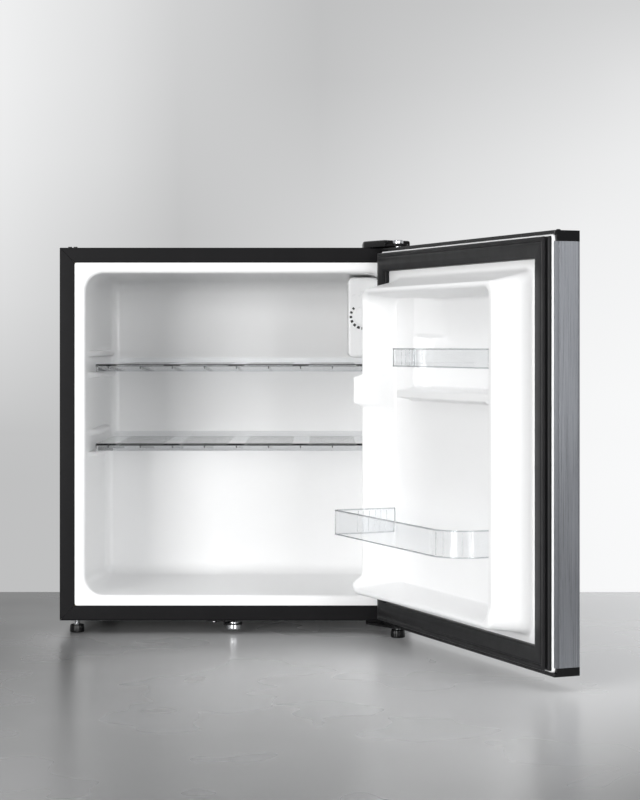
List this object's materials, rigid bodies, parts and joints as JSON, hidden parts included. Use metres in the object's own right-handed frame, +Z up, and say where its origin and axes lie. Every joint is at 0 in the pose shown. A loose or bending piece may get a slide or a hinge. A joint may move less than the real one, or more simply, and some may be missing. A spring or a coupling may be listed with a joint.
{
  "type": "compact refrigerator",
  "caption": "Compact box refrigerator with its door open on side hinges, clear shelves and door rails, a thermostat dial, a key lock and a compressor niche behind.",
  "frame": {"origin": "on the floor, at the middle of the footprint that the cabinet and its open door cover together; the cabinet's front face centre is 82.7 mm to -X and 23.4 mm to +Y of it", "axes": "+Z up, +Y towards the back of the cabinet, +X to the right of a person facing it"},
  "size_m": [0.6334, 0.8468, 0.521],
  "materials": {
    "black_paint": "satin",
    "dark_paint": "matte",
    "grey_paint": "satin",
    "black_enamel": "gloss",
    "white_liner": "gloss",
    "white_plastic": "satin",
    "foam": "matte",
    "aluminium": "satin",
    "tube_metal": "satin",
    "copper": "satin",
    "zinc": "satin",
    "bright_metal": "satin",
    "chrome": "polished",
    "black_plastic": "satin",
    "black_rubber": "matte",
    "gasket_rubber": "satin",
    "clear_plastic": "gloss",
    "brushed_steel": "satin",
    "magnet": "matte"
  },
  "bodies": {
    "cabinet": {"outer_shell": "black_paint", "base_plate": "grey_paint", "rear_panel": "dark_paint", "inner_liner": "white_liner", "cabinet_foam": "foam", "evaporator": "aluminium", "condenser_coil": "tube_metal", "thermostat_housing": "white_plastic", "thermostat_body": "zinc", "sensing_tube": "tube_metal", "hinge_hole_plugs": "black_plastic", "top_hinge_bracket": "black_paint", "top_hinge_pin": "bright_metal", "top_hinge_cover": "black_plastic", "top_hinge_screws": "bright_metal", "bottom_hinge_bracket": "black_paint", "bottom_hinge_pin": "bright_metal", "bottom_hinge_screws": "bright_metal", "rear_feet": "black_rubber", "foot_insert": "bright_metal", "compressor_plate": "grey_paint", "compressor": "black_enamel", "compressor_legs": "black_enamel", "compressor_grommets": "black_rubber", "compressor_bolts": "bright_metal", "start_relay_cover": "black_plastic", "filter_drier": "copper", "discharge_tube": "copper", "suction_tube": "copper", "drain_tube": "white_plastic", "drip_pan": "black_plastic", "cord_gland": "black_rubber", "lock_bracket": "black_paint", "lock_bracket_screws": "bright_metal", "lock_barrel": "chrome"},
    "door": {"door_skin": "brushed_steel", "door_top_cap": "black_plastic", "door_bottom_cap": "black_plastic", "door_foam": "foam", "door_liner": "white_liner", "door_gasket": "gasket_rubber", "gasket_magnets": "magnet", "door_hinge_bushes": "white_plastic", "cap_hole_plugs": "black_plastic"},
    "upper_shelf_body": {"upper_shelf": "clear_plastic"},
    "lower_shelf_body": {"lower_shelf": "clear_plastic"},
    "upper_rail_body": {"upper_door_rail": "clear_plastic"},
    "lower_rail_body": {"lower_door_rail": "clear_plastic"},
    "dial": {"thermostat_dial": "white_plastic"},
    "lock_rotor": {"lock_plug": "chrome", "lock_cam": "bright_metal"},
    "left_foot": {"front_foot_left": "black_plastic"},
    "right_foot": {"front_foot_right": "black_plastic"}
  },
  "joints": [
    {"name": "door_hinge", "type": "hinge", "parent": "cabinet", "child": "door", "pos_m": [0.13035, -0.00411, 0.264], "axis": [0, 0, 1], "range_deg": [-112.5, 22.5]},
    {"name": "upper_shelf_slide", "type": "slide", "parent": "cabinet", "child": "upper_shelf_body", "axis": [0, -1, 0], "range_m": [0, 0.065]},
    {"name": "lower_shelf_slide", "type": "slide", "parent": "cabinet", "child": "lower_shelf_body", "axis": [0, -1, 0], "range_m": [0, 0.065]},
    {"name": "upper_rail_pull", "type": "slide", "parent": "door", "child": "upper_rail_body", "axis": [-0.9239, -0.3827, 0], "range_m": [0, 0.06]},
    {"name": "lower_rail_pull", "type": "slide", "parent": "door", "child": "lower_rail_body", "axis": [-0.9239, -0.3827, 0], "range_m": [0, 0.09]},
    {"name": "thermostat_turn", "type": "hinge", "parent": "cabinet", "child": "dial", "pos_m": [0.08635, 0.07339, 0.422], "axis": [0, -1, 0], "range_deg": [-120, 150]},
    {"name": "lock_turn", "type": "hinge", "parent": "cabinet", "child": "lock_rotor", "pos_m": [-0.08635, 0.03139, 0.01], "axis": [0, 0, -1], "range_deg": [0, 150]},
    {"name": "left_foot_turn", "type": "hinge", "parent": "cabinet", "child": "left_foot", "pos_m": [-0.29605, 0.04639, 0.009], "axis": [0, 0, 1], "continuous": true},
    {"name": "right_foot_turn", "type": "hinge", "parent": "cabinet", "child": "right_foot", "pos_m": [0.13035, -0.00411, 0.005], "axis": [0, 0, 1], "continuous": true}
  ]
}
